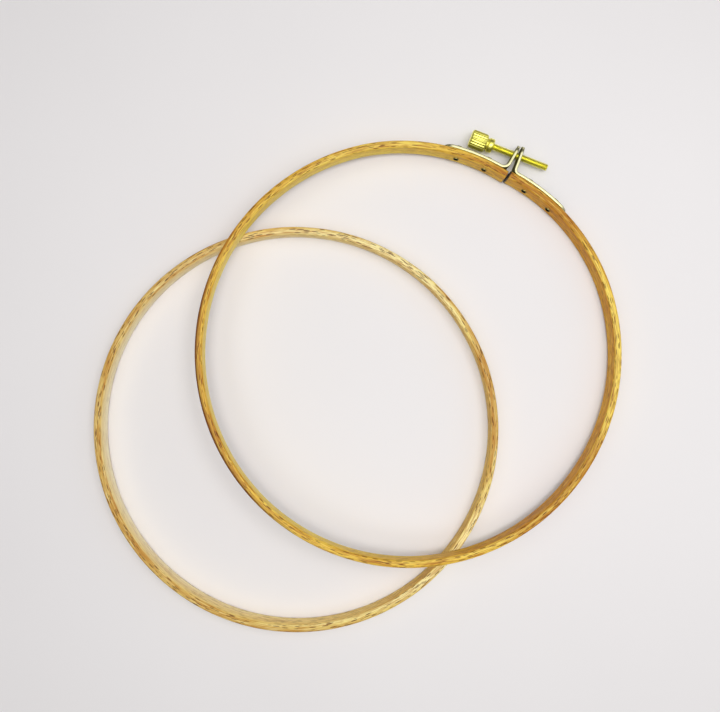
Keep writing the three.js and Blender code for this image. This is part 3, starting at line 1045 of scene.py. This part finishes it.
@dataclass
class Bracket:
    """A bent strip with full round ends: it follows the hoop and turns out into an ear.

    The cells left out round a hole of the strip form a square that goes a window's width beyond the
    rim. In the wood the window is half of the square's side. The round ends are drawn from the
    angle round_from on, as they start with a blunt tip.
    """

    hoop: OuterHoop
    side: Side
    reach: float
    bend_start: float
    bend_radius: float
    ear_lean: float
    rivet_inset: float
    ear_hole: float
    thickness: float = 1.0
    width: float = 6.4
    ear_height: float = 11.4
    seat_gap: float = 0.05
    rivet_spacing: float = 11.9
    rivet_hole: float = 2.06
    edge_radius: float = 0.14
    corner_steps: int = 4
    wall_steps: int = 20
    edge_steps: int = 3
    step: float = 0.3
    round_from: float = 4.0
    round_steps: int = 16
    ear_window: float = 0.45
    rivet_window: float = 0.6
    wood_window: float = 1.9
    heading_step: float = 0.05
    nudge: float = 1e-3
    # How fast the painted shade fades away from a round end.
    tip_shade: float = 0.17

    def rivet_travels(self) -> Pair:
        """How far along the hoop from the split the near and the far rivet are."""
        far = self.reach - self.rivet_inset
        return far - self.rivet_spacing, far

    def above_face(self, distance: np.ndarray, rise: float) -> np.ndarray:
        """Points of the hoop's plane over the outer face of the wood.

        A distance over the hoop's radius is a turn to this side, and the point lies there at the
        radius of the face plus the rise.

        Args:
            distance: Distances along the wood from the split.
            rise: Their height over the face.

        Returns:
            The points as an array of shape (n, 2).
        """
        turn = self.side.value * distance / self.hoop.radius
        reach = self.hoop.face(turn) + rise
        return np.stack([reach * np.sin(turn), reach * np.cos(turn)], -1)

    def heading(self, distance: float) -> np.ndarray:
        """The way the strip heads along the wood, towards the split.

        It is the line between the points a small step behind and ahead.

        Args:
            distance: Distance along the wood from the split.

        Returns:
            The way, of length one.
        """
        step = self.heading_step
        ahead, behind = self.above_face(np.array([distance - step, distance + step]), 0.0)
        way = ahead - behind
        return way / np.linalg.norm(way)

    def outwards(self, heading: np.ndarray) -> np.ndarray:
        """The way out of the wood, square to a heading."""
        return self.side.value * np.array([heading[1], -heading[0]])

    def ear_way(self) -> np.ndarray:
        """The way the ear points, away from the wood and leaning over the split."""
        lean = math.radians(self.ear_lean)
        return np.array([-self.side.value * math.sin(lean), math.cos(lean)])

    def end_face(self) -> float:
        """Height on +Y of the wood's outer face at this end."""
        return float(self.hoop.face(np.array(self.side.value * 1e-9)))

    def measures(self) -> dict[str, Any]:
        """The lengths and places that the middle line is made of.

        It follows the wood, turns on an arc from that heading to the ear's, and goes straight on.
        The cosine of the bend's angle a is the product of the two headings. The bend ends its
        radius times sin a along the first heading, and times 1 - cos a out of the wood.

        Returns:
            The length along the wood, where the bend starts, its heading, the way out of the wood,
            the bend's angle and end, the length of the ear and the whole length, by name.
        """
        along = self.reach - self.bend_start
        start = self.above_face(np.array([self.bend_start]), self.seat_gap + self.thickness / 2)[0]
        heading, ear = self.heading(self.bend_start), self.ear_way()
        bend = math.acos(float(heading @ ear))
        out = self.outwards(heading)
        bend_end = start + self.bend_radius * (heading * math.sin(bend) + out * (1 - math.cos(bend)))
        rise = (self.end_face() + self.ear_height - bend_end[1]) / ear[1]
        return {
            "along": along, "start": start, "heading": heading, "out": out, "bend": bend,
            "bend_end": bend_end, "rise": rise, "total": along + self.bend_radius * bend + rise,
        }

    def crossing(self, height: float) -> np.ndarray:
        """Where the ear's middle line, going straight on from the bend, reaches a height.

        Args:
            height: The height on +Y in the hoop's plane.

        Returns:
            The point there.
        """
        sizes, ear = self.measures(), self.ear_way()
        return sizes["bend_end"] + ear * (height - sizes["bend_end"][1]) / ear[1]

    def line(self, distance: np.ndarray) -> np.ndarray:
        """The middle line: along the wood, round the bend and straight up the ear.

        On the bend the angle is the length past its start over its radius, and the point is found
        from it as the bend's end is from the whole angle.

        Args:
            distance: Distances along the line from the end on the wood.

        Returns:
            The points of the hoop's plane as an array of shape (n, 2).
        """
        sizes = self.measures()
        s = distance[:, None]
        over = self.seat_gap + self.thickness / 2
        on_wood = self.above_face(self.reach - np.minimum(distance, sizes["along"]), over)
        angle = np.clip((s - sizes["along"]) / self.bend_radius, 0.0, sizes["bend"])
        bent = sizes["start"] + self.bend_radius * (
            sizes["heading"] * np.sin(angle) + sizes["out"] * (1 - np.cos(angle))
        )
        past = np.clip(s - sizes["along"] - self.bend_radius * sizes["bend"], 0.0, None)
        return np.where(s <= sizes["along"], on_wood, bent + self.ear_way() * past)

    def place(self, travel: np.ndarray, depth: np.ndarray, height: np.ndarray) -> np.ndarray:
        """Puts points of the strip into the frame.

        The depth is laid off square to the line between the points a nudge ahead and behind.

        Args:
            travel: Travel along the strip.
            depth: Depth across its thickness.
            height: Height from its middle.

        Returns:
            The points, in millimetres.
        """
        nudge, total = self.nudge, self.measures()["total"]
        ahead = self.line(np.minimum(travel + nudge, total)) - self.line(np.maximum(travel - nudge, 0.0))
        ahead /= np.linalg.norm(ahead, axis=1)[:, None]
        across = np.stack([-ahead[:, 1], ahead[:, 0]], -1)
        flat = self.line(travel) + across * depth[:, None]
        plane = np.column_stack([flat, self.hoop.lie.height / 2 + height])
        return moved(plane, self.hoop.lie.outer_matrix())

    def build(self, finish: bpy.types.Material, ear_hole_height: float) -> bpy.types.Object:
        """Builds the strip.

        At a travel s from a round end the half width is the root of r^2 - (r - s)^2, up to r,
        and the section is scaled to it across the strip. The rise that the metal reads is the
        depth under the nearer face, so the faces are painted in shade and dark reflection and the
        edges are not. Near a round end, which is painted in shade, it is at most a share of the
        distance from that end.

        Args:
            finish: The plated metal.
            ear_hole_height: Height on +Y of the hole's middle in the ear.

        Returns:
            The piece.
        """
        sizes, half = self.measures(), self.width / 2
        total = sizes["total"]
        turn = np.radians(np.linspace(self.round_from, 90.0, self.round_steps))
        end = half * (1 - np.cos(turn))
        middle = np.linspace(half, total - half, round((total - 2 * half) / self.step) + 1)
        travel = np.concatenate([end, middle[1:-1], (total - end)[::-1]])
        section = Section(
            -self.thickness / 2, self.thickness / 2, self.width, self.edge_radius,
            self.corner_steps, self.wall_steps, self.edge_steps,
        )
        outline = section.outline()
        from_end = np.minimum(np.minimum(travel, total - travel), half)
        share = np.sqrt(half**2 - (half - from_end) ** 2) / half
        depth = np.repeat(outline[None, :, 0], len(travel), 0)
        height = (outline[None, :, 1] - half) * share[:, None]
        up = (ear_hole_height - sizes["bend_end"][1]) / self.ear_way()[1]
        at_ear = sizes["along"] + self.bend_radius * sizes["bend"] + up
        holes = [Hole(at_ear, 0.0, self.ear_hole, self.ear_hole / 2 + self.ear_window)]
        window = self.rivet_hole / 2 + self.rivet_window
        holes += [Hole(self.reach - d, 0.0, self.rivet_hole, window) for d in self.rivet_travels()]
        shell = strip(self.place, travel, depth, height, section, holes)
        own = shell.grain
        # Painted shade and dark reflection on the faces and towards the round ends.
        from_tips = np.minimum(own[:, 0], total - own[:, 0])
        own[:, 3] = np.minimum(self.thickness / 2 - np.abs(own[:, 1]), self.tip_shade * from_tips)
        name = self.side.name.lower()
        piece = shell.piece(f"{name}_bracket_strip", finish)
        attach(piece, "outer" if self.side is Side.RIGHT else "left_end")
        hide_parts(f"{name}_bracket")
        return piece

    def seat(self, distance: float) -> Matrix:
        """Where a rivet sits: its Y axis points straight out of the wood's outer face.

        Args:
            distance: The rivet's distance along the wood from the split.

        Returns:
            The matrix that carries the rivet into the frame, in millimetres.
        """
        out = self.outwards(self.heading(distance))
        point = self.above_face(np.array([distance]), 0.0)[0]
        across = np.array([out[1], -out[0]])
        own = Matrix((
            (across[0], out[0], 0.0, point[0]),
            (across[1], out[1], 0.0, point[1]),
            (0.0, 0.0, 1.0, self.hoop.lie.height / 2),
            (0.0, 0.0, 0.0, 1.0),
        ))
        return self.hoop.lie.outer_matrix() @ own

    def wood_holes(self) -> list[Hole]:
        """The rivet holes in the wood on this side."""
        places = [(self.side.value * distance, self.hoop.lie.height / 2) for distance in self.rivet_travels()]
        return [Hole(*place, self.rivet_hole, self.wood_window) for place in places]


@dataclass
class Rivet:
    """A semi-tubular rivet: a low dome outside and a rolled tube end inside the hoop.

    The flat floor of the bore is given as a share of the bore, and the circle within which the
    tube end is painted in shade as a share of the roll.
    """

    wall: float = 2.7
    strip: float = 1.0
    seat_gap: float = 0.05
    shank: float = 1.9
    head: float = 3.5
    head_height: float = 1.1
    head_shoulder: float = 0.45
    roll: float = 2.2
    roll_height: float = 0.35
    roll_fullness: float = 0.8
    bore: float = 1.2
    bore_depth: float = 1.5
    bore_floor: float = 0.5
    bore_chamfer: float = 0.1
    edge_chamfer: float = 0.08
    bright_from: float = 0.43
    lip_steps: int = 13
    dome_steps: int = 12
    steps: int = 48

    def profile(self) -> np.ndarray:
        """The outline: down the bore, over the rolled lip, up the shank and over the dome.

        The lip is half a circle bulged outwards, as its sine is raised to a power under one, and
        the dome is a quarter ellipse.

        Returns:
            Points (radius, height) as an array of shape (n, 2), the first and last on the axis.
        """
        foot = -self.wall - self.seat_gap - self.roll_height
        lip_base = -self.wall - self.seat_gap
        bore, roll, shank, head = self.bore / 2, self.roll / 2, self.shank / 2, self.head / 2
        arc = np.linspace(0.0, math.pi, self.lip_steps)
        lip = np.stack([
            (bore + roll) / 2 - np.cos(arc) * (roll - bore) / 2,
            lip_base - np.sin(arc) ** self.roll_fullness * self.roll_height,
        ], -1)
        base = 2 * self.seat_gap + self.strip
        rise = np.linspace(0.0, math.pi / 2, self.dome_steps)
        dome = np.stack([
            head * np.cos(rise),
            base + self.head_shoulder + (self.head_height - self.head_shoulder) * np.sin(rise),
        ], -1)
        edge = np.array([[head - self.edge_chamfer, base], [head, base + self.edge_chamfer]])
        bottom = foot + self.bore_depth
        floor, wall = bore * self.bore_floor, bottom - self.bore_chamfer
        inside = np.array([[0.0, bottom], [floor, bottom], [bore, wall]])
        neck = np.array([[shank, lip_base], [shank, base]])
        return np.concatenate([inside, lip, neck, edge, dome[:-1], [[0.0, dome[-1, 1]]]])

    def build(self, name: str, seat: Matrix, body: str, finish: bpy.types.Material) -> bpy.types.Object:
        """Builds one rivet.

        The rise that the metal reads is how far a point of the tube end lies outside the circle
        within which it is painted in shade.

        Args:
            name: The CAD node that it stands for.
            seat: Where it sits.
            body: The body that it rides on.
            finish: The plated metal.

        Returns:
            The piece.
        """
        shell = revolve(self.profile(), self.steps)
        # Painted shade over the tube end, all but its outer rim.
        at_tube = shell.grain[:, 1] < -self.wall
        outside = shell.grain[:, 0] - self.roll * self.bright_from
        shell.grain[:, 3] = np.where(at_tube, outside, self.head)
        shell.points = moved(shell.points, seat)
        piece = shell.piece(f"{name}_metal", finish)
        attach(piece, body)
        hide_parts(name)
        return piece


@dataclass
class ThumbScrew:
    """The turned brass screw: knurled head, neck groove, collar and threaded shank.

    The head's face has a shallow dish, given as radii and depths. The knurl keeps the share run_out
    of its depth half way down a chamfer, and has all of it from run_in beyond. The lap is how far
    the collar's end reaches out and in from the shank's radius, and how deep it is hollowed there.
    """

    left: Bracket
    right: Bracket
    diameter: float = 2.6
    length: float = 30.9
    tip_beyond_ear: float = 11.2
    standoff: float = 7.6
    pitch: float = 0.5
    thread_depth: float = 0.27
    thread_crest: float = 0.12
    thread_flank: float = 0.76
    thread_rows: int = 8
    thread_around: int = 32
    # How strongly the thread's roots are painted in shade.
    root_shade: float = 0.8
    tip_chamfer: float = 0.35
    head_diameter: float = 6.6
    head_length: float = 6.3
    head_chamfer: float = 0.5
    dish: tuple[Pair, ...] = ((0.0, 0.05), (0.35, 0.02))
    face_rim: float = 0.5
    run_out: float = 0.55
    run_in: float = 0.1
    ridges: int = 21
    knurl_depth: float = 0.22
    ridge_steps: int = 8
    # How strongly the knurl's grooves are painted in shade.
    groove_shade: float = 0.55
    ease: float = 0.06
    corner: float = 0.08
    flare: float = 0.1
    neck_diameter: float = 4.3
    neck_length: float = 0.55
    # How strongly the floor of the neck is painted in shade.
    neck_shade: float = 0.2
    collar_diameter: float = 5.25
    collar_length: float = 2.15
    collar_chamfer: float = 0.35
    collar_ease: float = 0.05
    collar_bulge: float = 0.4
    lap: Triple = (0.12, 0.3, 0.1)
    split_opening: float = 5.2

    def origin(self) -> np.ndarray:
        """Where the axis crosses the middle of the right ear, in the hoop's plane."""
        return self.right.crossing(self.right.end_face() + self.standoff)

    def left_hole_height(self) -> float:
        """Height of the left ear's hole, half of the screw's drift nearer the wood.

        The axis climbs by the tangent of the right ear's lean. The drift is what it moves at the
        left ear while the split opens.

        Returns:
            The height on +Y in the hoop's plane.
        """
        slope, origin = math.tan(math.radians(self.right.ear_lean)), self.origin()
        along = self.left.measures()["bend_end"][0] - origin[0]
        return origin[1] + along * slope - 0.5 * self.split_opening * slope

    def seat(self) -> Matrix:
        """The screw's place: its Y axis runs from the head to the tip, square to the right ear.

        Returns:
            The matrix that carries the screw into the frame, in millimetres.
        """
        origin, lie = self.origin(), self.right.hoop.lie
        turn = Matrix.Rotation(math.radians(self.right.ear_lean - 90.0), 4, "Z")
        return lie.outer_matrix() @ Matrix.Translation((*origin, lie.height / 2)) @ turn

    def threaded_shank(self) -> Shell:
        """The thread as a helical surface.

        At the angle a and the height y the radius falls from the crest by the depth times a
        triangle wave of y / pitch - a / turn with flattened crests and roots, and it never passes
        the chamfer at the tip. The rise falls with the radius, so the roots are painted in shade.

        Returns:
            The closed surface, with its axis on Y.
        """
        start = self.tip_beyond_ear - self.length + self.head_length + self.neck_length
        end, crest = self.tip_beyond_ear, self.diameter / 2
        rows = round((end - start) / self.pitch * self.thread_rows)
        y = np.linspace(start, end, rows + 1)[:, None]
        a = np.linspace(0.0, TURN, self.thread_around, endpoint=False)[None, :]
        wave = np.abs(((y / self.pitch - a / TURN) % 1.0) * 2.0 - 1.0)
        radius = crest - self.thread_depth * np.clip((wave - self.thread_crest) / self.thread_flank, 0.0, 1.0)
        radius = np.minimum(radius, crest - self.tip_chamfer + (end - y))
        shell = turned(radius, y, (start, end))
        own = shell.grain
        # Painted shade in the thread's roots.
        own[:, 3] = np.where(own[:, 1] < end - self.tip_chamfer, self.root_shade * (own[:, 0] - crest), 0.0)
        return shell

    def knurled_head(self) -> Shell:
        """Head, neck and collar, turned about the axis.

        The knurled stretch adds ridges: its radius falls by the knurl's depth times the squared
        sine of half of ridges times the angle. The ridges run out in the two chamfers. Each row of
        the profile is a radius, a height and the share of the knurl there. The rise falls in the
        grooves and on the floor of the neck, which are painted in shade.

        Returns:
            The closed surface, with its axis on Y.
        """
        face = self.tip_beyond_ear - self.length
        head_end = face + self.head_length
        collar_start = head_end + self.neck_length
        collar_end = collar_start + self.collar_length
        head, neck, collar = self.head_diameter / 2, self.neck_diameter / 2, self.collar_diameter / 2
        c, k, ease = self.head_chamfer, self.collar_chamfer, self.ease
        soft, corner, flare, bulge = self.collar_ease, self.corner, self.flare, self.collar_bulge
        middle, run_in = (face + head_end) / 2, self.run_in
        out, back, hollow = self.lap
        shank = self.diameter / 2
        profile = np.array([
            *((radius, face + depth, 0.0) for radius, depth in self.dish),
            (head - c - self.face_rim, face, 0.0), (head - c - ease, face, 0.0),
            (head - c + ease * 0.7, face + ease * 0.7, 0.0), (head - c * 0.5, face + c * 0.5, self.run_out),
            (head - ease, face + c - ease * 0.6, 1.0), (head, face + c + run_in, 1.0), (head, middle, 1.0),
            (head, head_end - c - run_in, 1.0), (head - ease, head_end - c + ease * 0.6, 1.0),
            (head - c * 0.5, head_end - c * 0.5, self.run_out), (head - c, head_end - ease * 0.4, 0.0),
            (head - c - corner, head_end, 0.0), (neck + flare, head_end, 0.0), (neck, head_end + corner, 0.0),
            (neck, collar_start - corner, 0.0), (neck + flare, collar_start, 0.0),
            (collar - k - soft, collar_start, 0.0), (collar - k * 0.5, collar_start + k * bulge, 0.0),
            (collar, collar_start + k + soft, 0.0), (collar, collar_end - k - soft, 0.0),
            (collar - k * 0.5, collar_end - k * bulge, 0.0), (collar - k - soft, collar_end, 0.0),
            (shank + out, collar_end, 0.0), (shank - back, collar_end - hollow, 0.0),
            (0.0, collar_end - hollow, 0.0),
        ])
        around = self.ridges * self.ridge_steps
        shell = revolve(profile[:, :2], around)
        radius, height, angle = shell.grain[:, :3].T
        ridged = np.concatenate([np.repeat(profile[1:-1, 2], around), [0.0, 0.0]])
        cut = self.knurl_depth * ridged * np.sin(0.5 * self.ridges * angle) ** 2
        scale = (radius - cut) / np.maximum(radius, 1e-6)
        shell.points = shell.points * np.column_stack([scale, np.ones(len(scale)), scale])
        in_neck = (height > head_end - 0.01) & (height < collar_start + 0.01)
        # Painted shade on the floor of the neck and in the knurl's grooves.
        shell.grain[:, 3] = np.where(in_neck, radius - neck - self.neck_shade, -self.groove_shade * cut)
        return shell

    def build(self, finish: bpy.types.Material) -> list[bpy.types.Object]:
        """Builds the shank and the head, both riding on the turning body.

        Args:
            finish: The turned brass.

        Returns:
            The two pieces.
        """
        seat, pieces = self.seat(), []
        for name, node, shell in (
            ("screw_thread", "screw_shank", self.threaded_shank()),
            ("screw_head_brass", "screw_head", self.knurled_head()),
        ):
            shell.points = moved(shell.points, seat)
            piece = shell.piece(name, finish, sharp=40.0)
            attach(piece, "head")
            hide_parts(node)
            pieces.append(piece)
        return pieces


@dataclass(frozen=True)
class Lamp:
    """A square soft lamp: its place in metres, its side in metres and its power in watts."""

    name: str
    place: Triple
    size: float
    energy: float

    def hang(self) -> None:
        """Hangs it so that it faces the middle of the object."""
        data = bpy.data.lights.new(self.name, "AREA")
        data.size, data.energy = self.size, self.energy
        made = bpy.data.objects.new(self.name, data)
        made.location = self.place
        made.rotation_euler = (-Vector(self.place)).to_track_quat("-Z", "Y").to_euler()
        bpy.context.scene.collection.objects.link(made)


@dataclass
class Studio:
    """A pale table under soft light, seen from straight above."""

    eye_mm: Triple = (7.56, 11.99, 262.85)
    tilt: Triple = (-0.00929, 0.02219, 0.00555)
    focal_px: float = 683.6
    picture_px: int = 720
    sensor_mm: float = 36.0
    clip: Pair = (0.005, 20.0)
    paint: PaintedBoard = PaintedBoard("matt_painted_board", "#eeebec", "#ece9ea", 110.0)
    floor_half: float = 3.0
    room: str = "#fbf9f2"
    room_strength: float = 0.11
    lamps: tuple[Lamp, ...] = (
        Lamp("overhead", (0.0, 0.0, 0.6), 0.2, 1.15),
        Lamp("desk_lamp", (0.16, 0.05, 0.4), 0.15, 0.33),
        Lamp("ceiling", (-0.05, 0.0, 0.9), 1.3, 4.8),
        Lamp("window", (0.6, 0.1, 0.4), 0.5, 0.65),
    )

    def camera(self) -> bpy.types.Object:
        """Makes the camera from its place and its small tilt, an axis whose length is the angle.

        The lens in millimetres is the sensor's width times the focal length over the picture's
        width, both in pixels.

        Returns:
            The camera.
        """
        data = bpy.data.cameras.new("camera")
        data.sensor_width = self.sensor_mm
        data.lens = self.focal_px / self.picture_px * data.sensor_width
        data.clip_start, data.clip_end = self.clip
        made = bpy.data.objects.new("camera", data)
        bpy.context.scene.collection.objects.link(made)
        eye, tilt = Vector(self.eye_mm) * METRES, Vector(self.tilt)
        made.matrix_world = Matrix.Translation(eye) @ Matrix.Rotation(tilt.length, 4, tilt.normalized())
        bpy.context.scene.camera = made
        return made

    def table(self) -> bpy.types.Object:
        """Makes the table top, a flat square under the whole object.

        Returns:
            The table.
        """
        half = self.floor_half
        corners = [(-half, -half, 0.0), (half, -half, 0.0), (half, half, 0.0), (-half, half, 0.0)]
        mesh = bpy.data.meshes.new("table")
        mesh.from_pydata(corners, [], [(0, 1, 2, 3)])
        mesh.materials.append(self.paint.material())
        made = bpy.data.objects.new("table", mesh)
        bpy.context.scene.collection.objects.link(made)
        return made

    def build(self) -> None:
        """Sets up the camera, the table, the lamps, the world and the plain view transform."""
        self.camera()
        self.table()
        for lamp in self.lamps:
            lamp.hang()
        world = bpy.data.worlds.new("room")
        bpy.context.scene.world = world
        world.use_nodes = True
        tree = world.node_tree
        tree.nodes.clear()
        glow = add_node(tree, "Background", {"Color": linear(self.room), "Strength": self.room_strength})
        add_node(tree, "OutputWorld", {"Surface": glow})
        bpy.context.scene.view_settings.view_transform = "Standard"


def check_place(piece: bpy.types.Object, node: str) -> None:
    """Reports how far a piece's box departs from the box of the node that it stands for.

    That is the largest difference between the boxes' corners along any axis.

    Args:
        piece: The piece.
        node: The node's name.
    """
    co = np.zeros(len(piece.data.vertices) * 3, np.float32)
    piece.data.vertices.foreach_get("co", co)
    co = co.reshape(-1, 3)
    low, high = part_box(node)
    worst = max(np.abs(co.min(0) - low).max(), np.abs(co.max(0) - high).max()) / METRES
    LOG.info("%s: %d faces, box within %.2f mm of %s", piece.name, len(piece.data.polygons), worst, node)


def main() -> None:
    """Builds the hoop, dresses it and sets the studio round it."""
    logging.basicConfig(level=logging.INFO, format="%(message)s")
    # The inner wall is painted lit on one side and in shade across the hoop.
    plain = Beech(
        "beech_sanded_sealed", pale="#f9eaa6", tan="#eed67c", deep="#b87a28", fleck="#5e2c06",
        inside="#fff8dc", inside_half_lit="#fde8a4", inside_shaded="#e8c468", roughness=0.6, wall=2.9,
        light_side=170.0, top_drift=0.4,
    ).material()
    # On the outer hoop the outer edge and the split's end grain are painted in shade too.
    varnished = Beech(
        "beech_satin_varnish", pale="#f8dc68", tan="#edc448", deep="#aa6410", fleck="#6a3004",
        inside="#ffea7e", inside_half_lit="#ffe65e", inside_shaded="#dfa012", roughness=0.5, wall=2.7,
        light_side=-110.8, top_drift=0.1, light_mm=(-45.0, 20.0, 75.0), edge_shade_turn=-133.8,
        dark_turn=103.0, end_stain_and_shade=True,
    ).material()
    # The strip's faces and round ends are painted in shade and dark reflection.
    plated = BrightMetal(
        "brass_plated_steel_strip", "#f2edbc", "#c9c288", 0.3, (3.0, 0.2, 0.3),
        painted_shade_below_mm=0.07, painted_shade="#7a7826", painted_shade_over_mm=0.12,
    ).material()
    # The rivets' tube ends are painted near black as painted shade.
    riveted = BrightMetal(
        "brass_plated_rivet_wire", "#b9b070", "#8c8450", 0.3, (0.3, 0.3, 2.0),
        painted_shade_below_mm=0.0, painted_shade="#0c0804", painted_shade_over_mm=0.15,
    ).material()
    # The thread's roots, the knurl's grooves and the neck are painted in shade.
    brass = BrightMetal(
        "turned_brass", "#fdf77c", "#dccd4c", 0.4, (0.2, 0.2, 4.0),
        painted_shade_below_mm=-0.3, painted_shade="#5a5016", painted_shade_over_mm=0.13,
    ).material()

    Studio().build()
    lie = Lie()
    check_place(InnerHoop(lie).build(plain), "inner_hoop")

    hoop = OuterHoop(lie)
    left = Bracket(hoop, Side.LEFT, reach=26.4, bend_start=4.3, bend_radius=2.6, ear_lean=1.0,
                   rivet_inset=5.3, ear_hole=4.3)
    right = Bracket(hoop, Side.RIGHT, reach=25.9, bend_start=2.9, bend_radius=1.5, ear_lean=8.2,
                    rivet_inset=5.4, ear_hole=2.72)
    for piece in hoop.build(varnished, {half.side: half.wood_holes() for half in (left, right)}):
        LOG.info("%s: %d faces", piece.name, len(piece.data.polygons))

    screw = ThumbScrew(left, right)
    heights = {Side.LEFT: screw.left_hole_height(), Side.RIGHT: right.end_face() + screw.standoff}
    for half, body in ((left, "left_end"), (right, "outer")):
        name = half.side.name.lower()
        check_place(half.build(plated, heights[half.side]), f"{name}_bracket")
        for which, distance in zip(("near", "far"), half.rivet_travels()):
            node = f"{name}_{which}_rivet"
            check_place(Rivet().build(node, half.seat(distance), body, riveted), node)
    for piece, node in zip(screw.build(brass), ("screw_shank", "screw_head")):
        check_place(piece, node)


if __name__ == "__main__":
    main()
